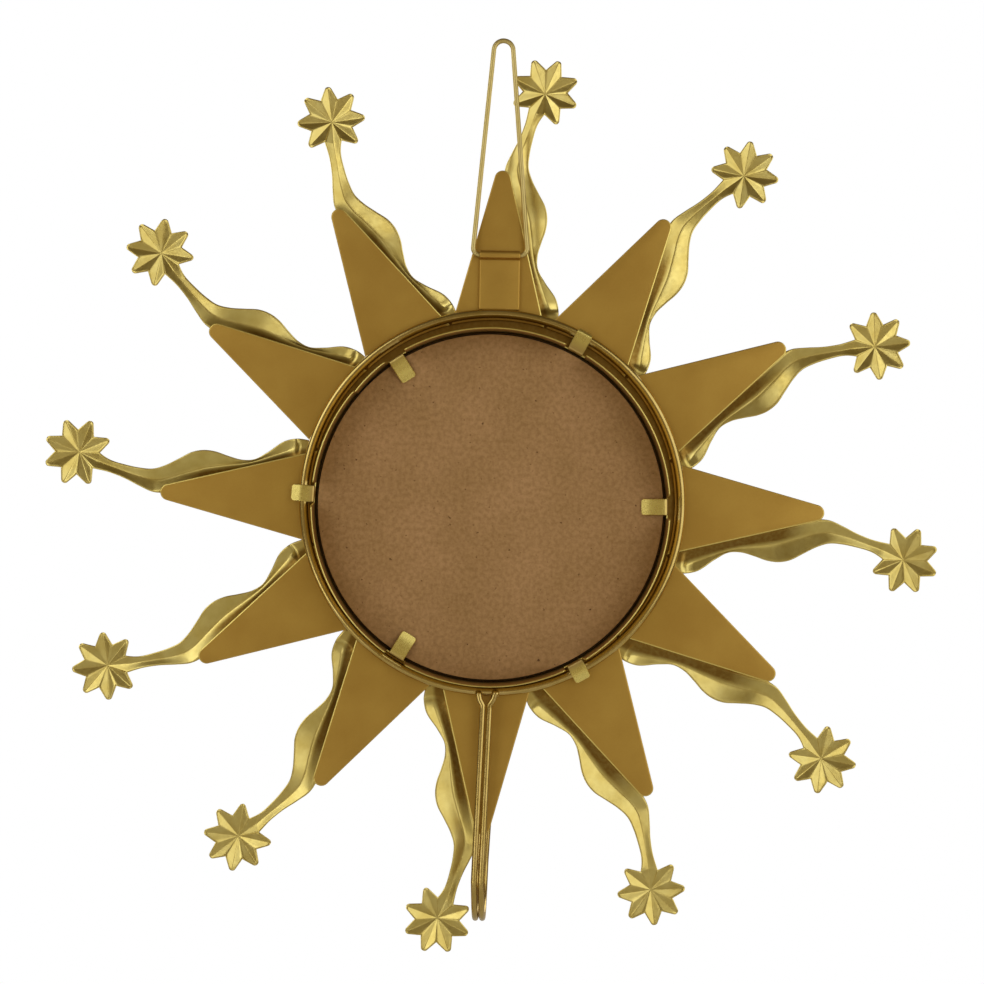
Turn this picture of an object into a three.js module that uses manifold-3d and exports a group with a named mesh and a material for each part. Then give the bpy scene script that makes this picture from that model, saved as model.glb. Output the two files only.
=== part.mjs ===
// Sunburst wall mirror: a round mirror in a sheet-metal cup, twelve flat rays, twelve wavy
// star-tipped rays, a wire ring that carries them, a hanging loop and a wire hook arm.
// Millimetres. +Z is up, the mirror faces -Y and the wall is towards +Y.
// The origin is the point inside the top of the hanging loop where a nail bears.
import * as THREE from "three";
import { mergeVertices } from "three/addons/utils/BufferGeometryUtils.js";
import Module from "manifold-3d";

const wasm = await Module();
wasm.setup();

const GAP = 0.3;
const MERGE_DISTANCE = 1e-4;
const ROUND_SIDES = 72;
const RAYS = 12;
const RAY_STEP = 360 / RAYS;

// Hanging loop: a bent wire, round at the top and with two round corners below
const LOOP_WIRE = 2.7;
const LOOP_WIRE_SIDES = 10;
const LOOP_TOP_RADIUS = 5.4;
const LOOP_HALF_WIDTH = 15;
const LOOP_CORNER = 4;
const LOOP_TOP_Z = LOOP_WIRE / 2;
const BAR_Z = -118.5;
const LOOP_BUTT = 0.4;

// Strap: sheet folded round the loop's bar, with both leaves flat on the top ray
const STRAP_SHEET = 1.0;
const STRAP_HALF_WIDTH = 11.3;
const STRAP_BORE = LOOP_WIRE / 2 + GAP;
const STRAP_PINCH = 1.5;
const RING_CUT_DEPTH = 20;
const RING_CUT_SIDES = 180;
const STRAP_TURN_IN = -40;

// Depths, worked forwards from the bar of the loop, which lies at y = 0
const FLAT_SHEET = 1.0;
const WAVY_SHEET = 0.8;
const FLAT_BACK_Y = -(STRAP_BORE + STRAP_SHEET + GAP);
const FLAT_FRONT_Y = FLAT_BACK_Y - FLAT_SHEET;
const WAVY_BACK_Y = FLAT_FRONT_Y - GAP;
const FLANGE_BACK_Y = WAVY_BACK_Y - WAVY_SHEET - GAP;

// Centres as seen in the XZ plane. The layers are set together by hand, so they differ a little.
const SUN = new THREE.Vector2(1.9, -256.5);
const WAVY_CENTRE = new THREE.Vector2(2.5, -258.5);
const CUP_CENTRE = new THREE.Vector2(2.85, -259.0);
const FLAT_TURN = 0.85;
const WAVY_TURN = 1.04;

// Wire ring that lies on the back of the rays
const RING_WIRE = 4.9;
const RING_WIRE_SIDES = 8;
const RING_RADIUS = 105.5;
const RING_Y = FLAT_BACK_Y + GAP + RING_WIRE / 2;

// Flat rays
const RAY_INNER = 102.2;
const RAY_APEX = 200;
const RAY_HALF_ANGLE = 14.4;
const RAY_TIP_RADIUS = 4.6;

// Wavy rays: stations out along the ray, as distance from the centre, then how far the left
// edge, the crease and the right edge stand to the clockwise side as seen from the back, and
// how deep the crease is pressed towards the front
const RIBBON = [
  [102.2, 23.0, 30.2, 33.2, 0],
  [110.0, 21.5, 29.4, 34.0, 0],
  [117.0, 18.8, 26.6, 32.5, 2.6],
  [127.0, 14.6, 22.8, 25.7, 3.1],
  [134.0, 12.0, 20.5, 21.7, 3.1],
  [141.0, 10.3, 18.9, 21.1, 3.3],
  [149.0, 9.2, 17.8, 23.0, 3.7],
  [156.0, 8.9, 16.8, 25.2, 4.0],
  [162.0, 8.6, 15.8, 25.8, 4.2],
  [169.0, 7.0, 13.8, 24.4, 4.1],
  [176.0, 4.6, 11.6, 20.6, 3.9],
  [183.0, 2.2, 9.2, 16.8, 3.4],
  [190.0, 1.4, 8.2, 14.4, 3.0],
  [198.0, 4.4, 9.6, 14.6, 2.6],
  [206.0, 8.2, 12.0, 16.0, 2.2],
  [214.0, 11.1, 14.7, 18.1, 2.0],
];
const STAR_POINTS = 8;
const STAR_TIP = 18.95;
const STAR_NOTCH = 12.6;
const STAR_DEPTH = 5.0;
const STAR_TIP_ROUND = 1.8;
const STAR_SHOULDER = STAR_TIP - 1.0;
const STAR_AT = { out: 233.2, side: 22.1 };
const STEM_POINT = 4;
const STEM_DEPTH = 2.6;

// Cup: a strip wall with a rolled bezel in front and six tabs cut out of its back edge
const CUP_OUTER = 98.9;
const CUP_SHEET = 0.8;
const CUP_BACK_Y = 16.5;
const BEZEL_OUTER = 107.5;
const BEZEL_FRONT_Y = -11.4;
const LIP_RADIUS = 94;
const SLOT_WIDTH = 12.7;
const SLOT_FLOOR_Y = 1.2;
const TAB_WIDTH = 9.2;
const OUT_TABS = [
  { angle: 27.6, reach: 111 },
  { angle: 150.7, reach: 109.3 },
  { angle: 273.3, reach: 111 },
];
const IN_TABS = [89, 211.3, 326.6];
const IN_TAB_REACH = 84.3;
const TAB_ROOT_Y = 0.6;
const TAB_DROP = 1.2;
const TAB_KNEE_IN = 2.2;
const TAB_KNEE_OUT = 1.2;
const SLOT_OVERCUT = 3;

// Bezel section: how far its rolled edges stand in from the outer edge, the lip and the front
const BEZEL_EDGE = 0.9;
const BEZEL_SHOULDER = { in: 0.5, back: 3.2 };
const BEZEL_ROLL = { in: 2.2, back: 1.2 };
const BEZEL_CROWN = 1.5;
const LIP_ROLL = { out: 3.2, back: 0.5 };
const LIP_EDGE = { out: 0.6, back: 1.7 };

// Mirror plate and backing board inside the cup
const PLATE = 4;
const GLASS_RADIUS = 97.4;
const BOARD_RADIUS = 96.4;
const BOARD_BACK_Y = 0.1;

// Hook arm: one wire doubled into a hairpin, welded to the ring by its two ends
const HOOK_WIRE = 3.5;
const HOOK_WIRE_SIDES = 8;
const HOOK_HALF_SPACING = HOOK_WIRE / 2 + 0.2;
const HOOK_NEAR_TOP = { x: 1.5, z: -112.5 };
const HOOK_NEAR_FOOT_X = 4.6;
const HOOK_FAR_FOOT_X = 2.2;
const HOOK_FAR_TOP_X = -0.9;
const HOOK_WELD = { right: { x: 5.7, z: -106.7 }, left: { x: -3.6, z: -106.0 } };
const HOOK_FLARE = 0.5;
const HOOK_BEND_STEPS = 12;
const HOOK_NEAR_Y = RING_Y + RING_WIRE / 2 + GAP + HOOK_WIRE / 2;
const HOOK_BEND = 26;
const HOOK_BEND_START = -210.5;
const HOOK_TIP = -150;

const rad = THREE.MathUtils.degToRad;

function paint(color, roughness, metalness) {
  return new THREE.MeshStandardMaterial({ color, roughness, metalness });
}

function named(name, geometry, material) {
  const mesh = new THREE.Mesh(geometry, material);
  mesh.name = name;
  return mesh;
}

// Closed geometry to manifold solid, and back
function toSolid(geometry) {
  const bare = geometry.clone();
  bare.deleteAttribute("normal");
  bare.deleteAttribute("uv");
  const merged = mergeVertices(bare, MERGE_DISTANCE);
  return new wasm.Manifold(new wasm.Mesh({
    numProp: 3,
    vertProperties: new Float32Array(merged.attributes.position.array),
    triVerts: new Uint32Array(merged.index.array),
  }));
}

function fromSolid(solid) {
  const mesh = solid.getMesh();
  const geometry = new THREE.BufferGeometry();
  geometry.setAttribute("position", new THREE.BufferAttribute(new Float32Array(mesh.vertProperties), 3));
  geometry.setIndex(new THREE.BufferAttribute(new Uint32Array(mesh.triVerts), 1));
  geometry.computeVertexNormals();
  return geometry;
}

// A curve through given corners, one step per corner, with mitred tangents
class BentWire extends THREE.Curve {
  constructor(corners) {
    super();
    this.corners = corners;
    this.steps = corners.length - 1;
  }
  getPoint(t, target = new THREE.Vector3()) {
    const at = t * this.steps;
    const i = Math.min(Math.floor(at), this.steps - 1);
    return target.lerpVectors(this.corners[i], this.corners[i + 1], at - i);
  }
  getUtoTmapping(u) {
    return u;
  }
  getTangent(t, target = new THREE.Vector3()) {
    const i = Math.round(t * this.steps);
    const before = this.corners[Math.max(i - 1, 0)];
    const here = this.corners[i];
    const after = this.corners[Math.min(i + 1, this.steps)];
    target.set(0, 0, 0);
    if (i > 0) {
      target.add(here.clone().sub(before).normalize());
    }
    if (i < this.steps) {
      target.add(after.clone().sub(here).normalize());
    }
    return target.normalize();
  }
}

function wire(corners, diameter, sides) {
  const section = new THREE.Shape();
  section.absarc(0, 0, diameter / 2, 0, 2 * Math.PI, false);
  const path = new BentWire(corners);
  return new THREE.ExtrudeGeometry(section, {
    steps: path.steps,
    curveSegments: sides / 2,
    extrudePath: path,
  });
}

// Points of an arc in the plane of two unit directions
function arcPoints(centre, across, along, radius, from, to, steps) {
  const points = [];
  for (let i = 0; i <= steps; i++) {
    const angle = rad(from + (to - from) * i / steps);
    points.push(centre.clone()
      .addScaledVector(across, radius * Math.cos(angle))
      .addScaledVector(along, radius * Math.sin(angle)));
  }
  return points;
}

const X = new THREE.Vector3(1, 0, 0);
const Z = new THREE.Vector3(0, 0, 1);

function hangingLoop() {
  const cornerX = LOOP_HALF_WIDTH - LOOP_CORNER;
  const corner = (side) => new THREE.Vector3(side * cornerX, 0, BAR_Z + LOOP_CORNER);
  const topCentre = new THREE.Vector3(0, 0, LOOP_TOP_Z - LOOP_TOP_RADIUS);
  const corners = [
    new THREE.Vector3(LOOP_BUTT / 2, 0, BAR_Z),
    ...arcPoints(corner(1), X, Z, LOOP_CORNER, -90, 4, 6),
    ...arcPoints(topCentre, X, Z, LOOP_TOP_RADIUS, 5, 175, 12),
    ...arcPoints(corner(-1), X, Z, LOOP_CORNER, 176, 270, 6),
    new THREE.Vector3(-LOOP_BUTT / 2, 0, BAR_Z),
  ];
  return wire(corners, LOOP_WIRE, LOOP_WIRE_SIDES);
}

// The strap's section in the YZ plane, with the hole that the bar turns in
function loopStrap() {
  const outer = STRAP_BORE + STRAP_SHEET;
  const foot = SUN.y + RING_RADIUS;
  const leaves = -outer + 2 * STRAP_SHEET;
  const crease = BAR_Z - outer - STRAP_PINCH;
  const turnIn = rad(STRAP_TURN_IN);
  const section = new THREE.Shape();
  section.moveTo(-outer, foot);
  section.lineTo(leaves, foot);
  section.lineTo(leaves, crease);
  section.lineTo(outer * Math.cos(turnIn), BAR_Z + outer * Math.sin(turnIn));
  section.absarc(0, BAR_Z, outer, turnIn, Math.PI, false);
  section.closePath();
  const hole = new THREE.Path();
  hole.absarc(0, BAR_Z, STRAP_BORE, 0, 2 * Math.PI, true);
  section.holes.push(hole);
  const fold = new THREE.ExtrudeGeometry(section, {
    depth: 2 * STRAP_HALF_WIDTH,
    bevelEnabled: false,
    curveSegments: 10,
  });
  fold.rotateX(Math.PI / 2);
  fold.rotateZ(Math.PI / 2);
  fold.translate(-STRAP_HALF_WIDTH, 0, 0);
  const cutRadius = RING_RADIUS + RING_WIRE / 2 + GAP;
  const ringEdge = new THREE.CylinderGeometry(cutRadius, cutRadius, RING_CUT_DEPTH, RING_CUT_SIDES);
  ringEdge.translate(SUN.x, 0, SUN.y);
  return fromSolid(toSolid(fold).subtract(toSolid(ringEdge)));
}

function flatRay() {
  const slope = Math.tan(rad(RAY_HALF_ANGLE));
  const tipCentre = RAY_APEX - RAY_TIP_RADIUS / Math.sin(rad(RAY_HALF_ANGLE));
  // The side line meets the inner circle where the triangle to the apex closes
  const sideAngle = rad(RAY_HALF_ANGLE);
  const half = Math.asin(RAY_APEX * Math.sin(sideAngle) / RAY_INNER) - sideAngle;
  const innerX = RAY_INNER * Math.sin(half);
  const innerZ = RAY_INNER * Math.cos(half);
  const outline = new THREE.Shape();
  outline.moveTo(innerX, innerZ);
  outline.absarc(0, tipCentre, RAY_TIP_RADIUS, rad(RAY_HALF_ANGLE), rad(180 - RAY_HALF_ANGLE), false);
  outline.absarc(0, 0, RAY_INNER, Math.PI / 2 + half, Math.PI / 2 - half, true);
  const geometry = new THREE.ExtrudeGeometry(outline, {
    depth: FLAT_SHEET,
    bevelEnabled: false,
    curveSegments: 4,
  });
  geometry.rotateX(Math.PI / 2);
  geometry.translate(0, FLAT_BACK_Y, 0);
  return geometry;
}

// One point of the pressed sheet: out along the ray, to the side, and pressed depth
function sheetPoint(out, side, depth) {
  return { x: -side, z: out, depth };
}

function starOutline(index, turn, radius) {
  const angle = rad((index + 0.5) * 360 / STAR_POINTS + turn);
  return sheetPoint(
    STAR_AT.out + radius * Math.cos(angle),
    STAR_AT.side + radius * Math.sin(angle),
    0,
  );
}

function wavyRay() {
  const points = [];
  const faces = [];
  const add = (point) => points.push(point) - 1;

  const left = [];
  const crease = [];
  const right = [];
  for (const [out, leftSide, creaseSide, rightSide, depth] of RIBBON) {
    left.push(add(sheetPoint(out, leftSide, 0)));
    crease.push(add(sheetPoint(out, creaseSide, depth)));
    right.push(add(sheetPoint(out, rightSide, 0)));
  }

  // Star: rounded tips and notches all round, the stem taking the place of one tip
  const centre = add(sheetPoint(STAR_AT.out, STAR_AT.side, STAR_DEPTH));
  const half = 180 / STAR_POINTS;
  const roundTurn = THREE.MathUtils.radToDeg(STAR_TIP_ROUND / STAR_TIP);
  const rim = [];
  for (let k = 1; k < STAR_POINTS; k++) {
    const tip = STEM_POINT + k;
    rim.push(add(starOutline(tip, -half, STAR_NOTCH)));
    rim.push(add(starOutline(tip, -roundTurn, STAR_SHOULDER)));
    rim.push(add(starOutline(tip, 0, STAR_TIP)));
    rim.push(add(starOutline(tip, roundTurn, STAR_SHOULDER)));
  }
  rim.push(add(starOutline(STEM_POINT, -half, STAR_NOTCH)));
  for (let i = 0; i + 1 < rim.length; i++) {
    faces.push([centre, rim[i], rim[i + 1]]);
  }

  // Stem: the crease runs on from the ribbon into the middle of the star
  const stem = starOutline(STEM_POINT, 0, STAR_NOTCH);
  const stemCrease = add({ ...stem, depth: STEM_DEPTH });
  left.push(rim[0]);
  crease.push(stemCrease);
  right.push(rim[rim.length - 1]);
  faces.push([centre, stemCrease, left[left.length - 1]]);
  faces.push([centre, right[right.length - 1], stemCrease]);
  for (let i = 0; i + 1 < left.length; i++) {
    faces.push([left[i], left[i + 1], crease[i + 1]]);
    faces.push([left[i], crease[i + 1], crease[i]]);
    faces.push([crease[i], crease[i + 1], right[i + 1]]);
    faces.push([crease[i], right[i + 1], right[i]]);
  }
  const edge = [...left.slice(0, -1), ...rim, ...right.slice(0, -1).reverse(), crease[0]];

  // Two skins a sheet's thickness apart, and a wall round the edge
  const count = points.length;
  const position = [];
  for (const front of [0, WAVY_SHEET]) {
    for (const { x, z, depth } of points) {
      position.push(x, WAVY_BACK_Y - depth - front, z);
    }
  }
  const index = [];
  for (const [a, b, c] of faces) {
    index.push(a, c, b, a + count, b + count, c + count);
  }
  for (let i = 0; i < edge.length; i++) {
    const a = edge[i];
    const b = edge[(i + 1) % edge.length];
    index.push(a, b, a + count, b, b + count, a + count);
  }
  const geometry = new THREE.BufferGeometry();
  geometry.setAttribute("position", new THREE.Float32BufferAttribute(position, 3));
  geometry.setIndex(index);
  geometry.computeVertexNormals();
  return geometry;
}

// A box whose middle stands at a distance out from the cup's axis, at an angle seen from behind
function boxAt(angle, from, to, width, lowY, highY) {
  const box = new THREE.BoxGeometry(width, highY - lowY, to - from);
  box.translate(0, (lowY + highY) / 2, (from + to) / 2);
  box.rotateY(-rad(angle));
  return toSolid(box);
}

// An outward tab: up from the slot's floor, across the ring and down past it
function outwardTab({ angle, reach }) {
  const direction = new THREE.Vector2(-Math.sin(rad(angle)), Math.cos(rad(angle)));
  const offset = SUN.clone().sub(CUP_CENTRE);
  const ringAt = offset.dot(direction) + RING_RADIUS;
  const under = RING_Y + RING_WIRE / 2 + GAP;
  const middle = CUP_OUTER - CUP_SHEET / 2;
  const section = new THREE.Shape();
  section.moveTo(middle, TAB_ROOT_Y);
  section.lineTo(CUP_OUTER + CUP_SHEET, TAB_ROOT_Y);
  section.lineTo(ringAt - TAB_KNEE_IN, under);
  section.lineTo(ringAt + TAB_KNEE_OUT, under);
  section.lineTo(reach, under - TAB_DROP);
  section.lineTo(reach, under - TAB_DROP + CUP_SHEET);
  section.lineTo(ringAt + TAB_KNEE_OUT, under + CUP_SHEET);
  section.lineTo(ringAt - TAB_KNEE_IN, under + CUP_SHEET);
  section.lineTo(middle, TAB_ROOT_Y + 2 * CUP_SHEET);
  section.closePath();
  const tab = new THREE.ExtrudeGeometry(section, { depth: TAB_WIDTH, bevelEnabled: false });
  // Section x is outwards (+Z here) and section y is backwards (+Y)
  tab.rotateY(-Math.PI / 2);
  tab.translate(TAB_WIDTH / 2, 0, 0);
  tab.rotateY(-rad(angle));
  return toSolid(tab);
}

function mirrorRim() {
  const inner = CUP_OUTER - CUP_SHEET;
  const glassFront = BOARD_BACK_Y - 2 * PLATE - GAP;
  const lipBack = glassFront - GAP;
  const profile = [
    [inner, lipBack],
    [inner, CUP_BACK_Y],
    [CUP_OUTER, CUP_BACK_Y],
    [CUP_OUTER, FLANGE_BACK_Y],
    [BEZEL_OUTER - BEZEL_EDGE, FLANGE_BACK_Y],
    [BEZEL_OUTER, FLANGE_BACK_Y - BEZEL_EDGE],
    [BEZEL_OUTER - BEZEL_SHOULDER.in, BEZEL_FRONT_Y + BEZEL_SHOULDER.back],
    [BEZEL_OUTER - BEZEL_ROLL.in, BEZEL_FRONT_Y + BEZEL_ROLL.back],
    [(BEZEL_OUTER + LIP_RADIUS) / 2 + BEZEL_CROWN, BEZEL_FRONT_Y],
    [LIP_RADIUS + LIP_ROLL.out, BEZEL_FRONT_Y + LIP_ROLL.back],
    [LIP_RADIUS + LIP_EDGE.out, BEZEL_FRONT_Y + LIP_EDGE.back],
    [LIP_RADIUS, lipBack],
    [inner, lipBack],
  ].reverse().map(([r, y]) => new THREE.Vector2(r, y));
  let solid = toSolid(new THREE.LatheGeometry(profile, ROUND_SIDES));
  const slotFrom = inner - SLOT_OVERCUT;
  const slotTo = CUP_OUTER + SLOT_OVERCUT;
  for (const angle of [...OUT_TABS.map((tab) => tab.angle), ...IN_TABS]) {
    const slot = boxAt(angle, slotFrom, slotTo, SLOT_WIDTH, SLOT_FLOOR_Y, CUP_BACK_Y + SLOT_OVERCUT);
    solid = solid.subtract(slot);
  }
  for (const tab of OUT_TABS) {
    solid = solid.add(outwardTab(tab));
  }
  const tabFront = BOARD_BACK_Y + GAP;
  const tabRoot = CUP_OUTER - CUP_SHEET / 2;
  for (const angle of IN_TABS) {
    solid = solid.add(boxAt(angle, IN_TAB_REACH, tabRoot, TAB_WIDTH, tabFront, tabFront + CUP_SHEET));
  }
  return fromSolid(solid);
}

function disc(radius, backY) {
  const geometry = new THREE.CylinderGeometry(radius, radius, PLATE, ROUND_SIDES);
  geometry.translate(0, backY - PLATE / 2, 0);
  return geometry;
}

// The hook arm in a frame centred on the sun: X across, Z up
function hookArm() {
  const farY = HOOK_NEAR_Y - 2 * HOOK_BEND;
  const run = (side) => {
    const shift = side * HOOK_HALF_SPACING;
    const weld = side > 0 ? HOOK_WELD.right : HOOK_WELD.left;
    const topX = HOOK_NEAR_TOP.x + shift;
    const flareX = (weld.x + topX) / 2 + side * HOOK_FLARE;
    const points = [
      new THREE.Vector3(weld.x, HOOK_NEAR_Y, weld.z),
      new THREE.Vector3(flareX, HOOK_NEAR_Y, (weld.z + HOOK_NEAR_TOP.z) / 2),
      new THREE.Vector3(topX, HOOK_NEAR_Y, HOOK_NEAR_TOP.z),
    ];
    for (let i = 0; i <= HOOK_BEND_STEPS; i++) {
      const t = i / HOOK_BEND_STEPS;
      const angle = Math.PI * t;
      points.push(new THREE.Vector3(
        THREE.MathUtils.lerp(HOOK_NEAR_FOOT_X, HOOK_FAR_FOOT_X, t) + shift,
        HOOK_NEAR_Y - HOOK_BEND * (1 - Math.cos(angle)),
        HOOK_BEND_START - HOOK_BEND * Math.sin(angle),
      ));
    }
    return points;
  };
  const tipCentre = new THREE.Vector3(HOOK_FAR_TOP_X, farY, HOOK_TIP);
  const corners = [
    ...run(1),
    ...arcPoints(tipCentre, X, Z, HOOK_HALF_SPACING, 0, 180, 8),
    ...run(-1).reverse(),
  ];
  return wire(corners, HOOK_WIRE, HOOK_WIRE_SIDES);
}

const flatGold = () => paint("#92742f", 0.5, 0.85);
const brightGold = () => paint("#b89d4c", 0.34, 0.9);

const mirror = new THREE.Group();
mirror.add(named("hanging_loop", hangingLoop(), brightGold()));
mirror.add(named("loop_strap", loopStrap(), flatGold()));

// The sun: the flat rays and the wire ring share a centre, and the hook is welded to the ring
const sun = new THREE.Group();
sun.position.set(SUN.x, 0, SUN.y);
mirror.add(sun);
const ring = new THREE.TorusGeometry(RING_RADIUS, RING_WIRE / 2, RING_WIRE_SIDES, ROUND_SIDES);
ring.rotateX(Math.PI / 2);
ring.translate(0, RING_Y, 0);
sun.add(named("wire_ring", ring, brightGold()));
sun.add(named("hook_arm", hookArm(), brightGold()));
for (let k = 0; k < RAYS; k++) {
  const ray = named(`flat_ray_${String(k + 1).padStart(2, "0")}`, flatRay(), flatGold());
  ray.rotation.y = -rad(FLAT_TURN + k * RAY_STEP);
  sun.add(ray);
}

const wavySun = new THREE.Group();
wavySun.position.set(WAVY_CENTRE.x, 0, WAVY_CENTRE.y);
mirror.add(wavySun);
for (let k = 0; k < RAYS; k++) {
  const ray = named(`wavy_ray_${String(k + 1).padStart(2, "0")}`, wavyRay(), brightGold());
  ray.rotation.y = -rad(WAVY_TURN + k * RAY_STEP);
  wavySun.add(ray);
}

const cup = new THREE.Group();
cup.position.set(CUP_CENTRE.x, 0, CUP_CENTRE.y);
mirror.add(cup);
cup.add(named("mirror_rim", mirrorRim(), brightGold()));
cup.add(named("backing_board", disc(BOARD_RADIUS, BOARD_BACK_Y), paint("#86663f", 0.85, 0)));
cup.add(named("mirror_glass", disc(GLASS_RADIUS, BOARD_BACK_Y - PLATE - GAP), paint("#dfe6e6", 0.04, 1)));

export default mirror;
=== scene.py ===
import math

import bmesh
import bpy
import numpy as np
from mathutils import Matrix, Vector


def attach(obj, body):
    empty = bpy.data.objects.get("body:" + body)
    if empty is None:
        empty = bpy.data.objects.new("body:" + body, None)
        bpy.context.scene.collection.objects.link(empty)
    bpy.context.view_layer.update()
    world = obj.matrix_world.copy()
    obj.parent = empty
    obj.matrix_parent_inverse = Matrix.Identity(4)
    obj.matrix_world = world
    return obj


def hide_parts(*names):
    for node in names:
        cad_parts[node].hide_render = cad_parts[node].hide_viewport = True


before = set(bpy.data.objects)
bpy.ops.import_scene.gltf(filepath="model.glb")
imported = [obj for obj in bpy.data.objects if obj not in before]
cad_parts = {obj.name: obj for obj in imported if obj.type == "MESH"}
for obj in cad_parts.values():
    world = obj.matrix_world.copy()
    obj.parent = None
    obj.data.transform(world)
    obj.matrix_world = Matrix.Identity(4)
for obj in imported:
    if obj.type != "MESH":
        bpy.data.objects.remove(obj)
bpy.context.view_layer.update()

# Sunburst wall mirror seen from behind: finish of every surface, and the fine form of the
# pressed rays, the wires, the strap, the cup with its tabs and the backing board.
# Lengths are millimetres until a mesh is made. +Z is up, the wall is towards +Y.
MM = 0.001
SUN_BODY = "sunburst"
LOOP_BODY = "loop"

# Driving sizes, the same as those of the solids
GAP = 0.3
RAYS = 12
RAY_STEP = math.radians(360 / RAYS)
SUN = (1.9, -256.5)
WAVY_CENTRE = (2.5, -258.5)
CUP_CENTRE = (2.85, -259.0)
FLAT_TURN = math.radians(0.85)
WAVY_TURN = math.radians(1.04)

LOOP_WIRE = 2.7
LOOP_TOP_RADIUS = 5.4
LOOP_HALF_WIDTH = 15
LOOP_CORNER = 4
LOOP_TOP_Z = LOOP_WIRE / 2
LOOP_BUTT = 0.4
BAR_Z = -118.5

STRAP_SHEET = 1.0
STRAP_HALF_WIDTH = 11.3
STRAP_BORE = LOOP_WIRE / 2 + GAP

FLAT_SHEET = 1.0
WAVY_SHEET = 0.8
FLAT_BACK_Y = -(STRAP_BORE + STRAP_SHEET + GAP)
FLAT_FRONT_Y = FLAT_BACK_Y - FLAT_SHEET
WAVY_BACK_Y = FLAT_FRONT_Y - GAP
FLANGE_BACK_Y = WAVY_BACK_Y - WAVY_SHEET - GAP

RING_WIRE = 4.9
RING_RADIUS = 105.5
RING_Y = FLAT_BACK_Y + GAP + RING_WIRE / 2

RAY_INNER = 102.2
RAY_APEX = 200
RAY_HALF_ANGLE = math.radians(14.4)
RAY_TIP_RADIUS = 4.6

CUP_OUTER = 98.9
CUP_SHEET = 0.8
CUP_BACK_Y = 16.5
BEZEL_OUTER = 107.5
BEZEL_FRONT_Y = -11.4
LIP_RADIUS = 94
SLOT_WIDTH = 12.7
SLOT_FLOOR_Y = 1.2
PLATE = 4
BOARD_RADIUS = 96.4
BOARD_BACK_Y = 0.1
GLASS_RADIUS = 97.4
GLASS_BACK_Y = BOARD_BACK_Y - PLATE - GAP
GLASS_FRONT_Y = GLASS_BACK_Y - PLATE

# Points round a full circle, round a wire, and round the tip of a flat ray
ROUND_STEPS = 240
BEZEL_STEPS = 288
WIRE_SIDES = 20
RING_SIDES = 24
TIP_POINTS = 25


# Colours and nodes
def srgb(text):
    """Linear colour from an sRGB hex value."""
    values = [int(text[i:i + 2], 16) / 255 for i in (1, 3, 5)]
    linear = [v / 12.92 if v <= 0.04045 else ((v + 0.055) / 1.055) ** 2.4 for v in values]
    return (*linear, 1.0)


def add(tree, kind, settings=None, values=None, links=None):
    """Adds one node with its settings, socket values and incoming links."""
    node = tree.nodes.new(kind)
    for name, value in (settings or {}).items():
        setattr(node, name, value)
    for socket, value in (values or {}).items():
        node.inputs[socket].default_value = value
    for socket, source in (links or {}).items():
        tree.links.new(source, node.inputs[socket])
    return node


# Camera: at the photograph's viewing angle, square behind the mirror and rolled one degree.
# A pixel of the photograph is this wide at the back of the flat rays.
PHOTO_PIXELS = 984
PIXEL_SIZE = 0.56
SENSOR_WIDTH = 36
CAMERA_DISTANCE = 950
CAMERA_AIM = (2.17, -250.6)
CAMERA_ROLL = math.radians(1.0)


def place_camera():
    data = bpy.data.cameras.new("photo_view")
    data.sensor_width = SENSOR_WIDTH
    data.lens = SENSOR_WIDTH * CAMERA_DISTANCE / (PHOTO_PIXELS * PIXEL_SIZE)
    camera = bpy.data.objects.new("photo_view", data)
    bpy.context.scene.collection.objects.link(camera)
    right = Vector((-math.cos(CAMERA_ROLL), 0, math.sin(CAMERA_ROLL)))
    up = Vector((math.sin(CAMERA_ROLL), 0, math.cos(CAMERA_ROLL)))
    back = Vector((0, 1, 0))
    spot = Vector((CAMERA_AIM[0] * MM, CAMERA_DISTANCE * MM + FLAT_BACK_Y * MM, CAMERA_AIM[1] * MM))
    camera.matrix_world = Matrix((right, up, back)).transposed().to_4x4()
    camera.matrix_world.translation = spot
    bpy.context.scene.camera = camera


# Studio: a dim warm surround with soft boxes on the wall side, where the photograph's bright
# facets look, and two more for the front. The surround's brightness goes from the front (0) to
# the wall side (1), and is higher below than above.
ROOM_TINT = (1, 0.81, 0.54)
ROOM_FRONT = 0.45
ROOM_WALL_SIDE = 0.28
ROOM_BETWEEN = [(0.5, 0.14), (0.8, 0.22)]
ROOM_BELOW = 1.25
ROOM_ABOVE = 0.75
BOX_COLOUR = (0.94, 1.0, 1.1)
# Each box: clock angle seen from behind, tilt from the wall side's axis, then its distance and
# size in metres, and watts
BOXES = [
    ("right_box", 78, 50, 1.7, 1.9, 13.4),
    ("upper_left_box", 300, 50, 1.7, 1.15, 7.2),
    ("lower_left_box", 230, 50, 1.7, 0.95, 5.0),
    ("low_box", 180, 26, 1.8, 0.6, 0.5),
    ("front_left_box", 60, 135, 2.0, 1.2, 9),
    ("front_right_box", 300, 135, 2.0, 1.2, 9),
]


def warm(level):
    """The warm grey of the surround at one brightness."""
    return (*(level * tint for tint in ROOM_TINT), 1)


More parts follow.
